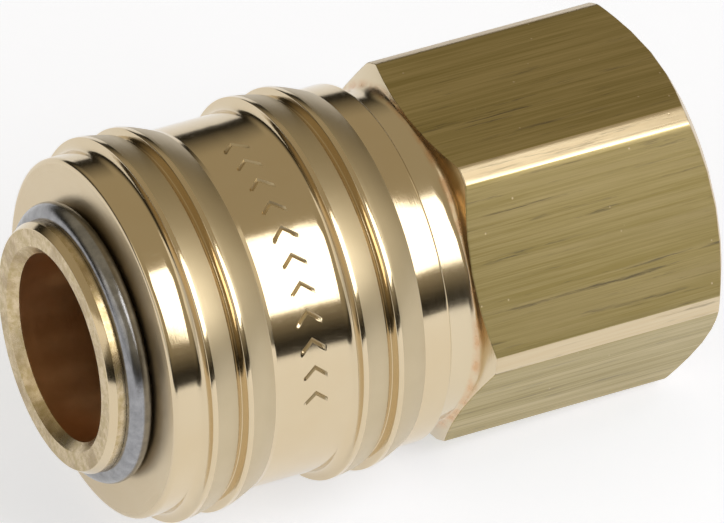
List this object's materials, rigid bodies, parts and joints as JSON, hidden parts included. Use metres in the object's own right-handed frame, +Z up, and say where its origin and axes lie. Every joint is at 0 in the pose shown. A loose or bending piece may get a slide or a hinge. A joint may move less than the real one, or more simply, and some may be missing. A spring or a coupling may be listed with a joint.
{
  "type": "quick disconnect coupler",
  "caption": "Brass one-hand quick-release air coupler: spring-loaded ribbed sleeve over a ball-lock plug socket, hexagon body with an internal inlet thread.",
  "frame": {"origin": "centre of the bounding box, on the coupler's axis half way along", "axes": "+X along the axis from the plug socket to the inlet thread, +Z up with one hexagon flat facing up"},
  "size_m": [0.036, 0.0214, 0.0214],
  "materials": {
    "polished_brass": "turned and polished",
    "turned_brass": "fine turned, satin",
    "drawn_brass": "drawn bar, streaked along its length",
    "ring_steel": "dull drawn wire",
    "spring_steel": "bright drawn wire",
    "ball_steel": "ground and polished",
    "seal_rubber": "matte moulded",
    "gasket_plastic": "matte white"
  },
  "bodies": {
    "coupler_body": {"hex_body": "drawn_brass", "nozzle_tube": "turned_brass", "retaining_ring": "ring_steel", "plug_seal": "seal_rubber", "body_gasket": "gasket_plastic"},
    "spring_seat": {"sleeve_spring": "spring_steel"},
    "sleeve": {"locking_sleeve": "polished_brass"},
    "valve": {"valve_poppet": "turned_brass", "valve_seal": "seal_rubber", "valve_spring": "spring_steel"},
    "ball_1": {"lock_ball_1": "ball_steel"},
    "ball_2": {"lock_ball_2": "ball_steel"},
    "ball_3": {"lock_ball_3": "ball_steel"},
    "ball_4": {"lock_ball_4": "ball_steel"},
    "ball_5": {"lock_ball_5": "ball_steel"},
    "ball_6": {"lock_ball_6": "ball_steel"}
  },
  "joints": [
    {"name": "sleeve_slide", "type": "slide", "parent": "coupler_body", "child": "spring_seat", "axis": [1, 0, 0], "range_m": [0, 0.0016], "stiffness_N_per_m": 1500, "springref_m": -0.006, "deforming": ["sleeve_spring"]},
    {"name": "sleeve_spin", "type": "hinge", "parent": "spring_seat", "child": "sleeve", "pos_m": [0, 0, 0], "axis": [1, 0, 0], "continuous": true},
    {"name": "valve_slide", "type": "slide", "parent": "coupler_body", "child": "valve", "axis": [1, 0, 0], "range_m": [0, 0.003], "stiffness_N_per_m": 800, "springref_m": -0.005, "deforming": ["valve_spring"]},
    {"name": "ball_1_lift", "type": "slide", "parent": "coupler_body", "child": "ball_1", "axis": [0, 0, 1], "range_m": [0, 0.00103]},
    {"name": "ball_2_lift", "type": "slide", "parent": "coupler_body", "child": "ball_2", "axis": [0, 0.866, 0.5], "range_m": [0, 0.00103]},
    {"name": "ball_3_lift", "type": "slide", "parent": "coupler_body", "child": "ball_3", "axis": [0, 0.866, -0.5], "range_m": [0, 0.00103]},
    {"name": "ball_4_lift", "type": "slide", "parent": "coupler_body", "child": "ball_4", "axis": [0, 0, -1], "range_m": [0, 0.00103]},
    {"name": "ball_5_lift", "type": "slide", "parent": "coupler_body", "child": "ball_5", "axis": [0, -0.866, -0.5], "range_m": [0, 0.00103]},
    {"name": "ball_6_lift", "type": "slide", "parent": "coupler_body", "child": "ball_6", "axis": [0, -0.866, 0.5], "range_m": [0, 0.00103]}
  ],
  "couplings": [
    {"joint": "ball_1_lift", "follows": "sleeve_slide", "ratio": 0.6375},
    {"joint": "ball_2_lift", "follows": "sleeve_slide", "ratio": 0.6375},
    {"joint": "ball_3_lift", "follows": "sleeve_slide", "ratio": 0.6375},
    {"joint": "ball_4_lift", "follows": "sleeve_slide", "ratio": 0.6375},
    {"joint": "ball_5_lift", "follows": "sleeve_slide", "ratio": 0.6375},
    {"joint": "ball_6_lift", "follows": "sleeve_slide", "ratio": 0.6375}
  ]
}
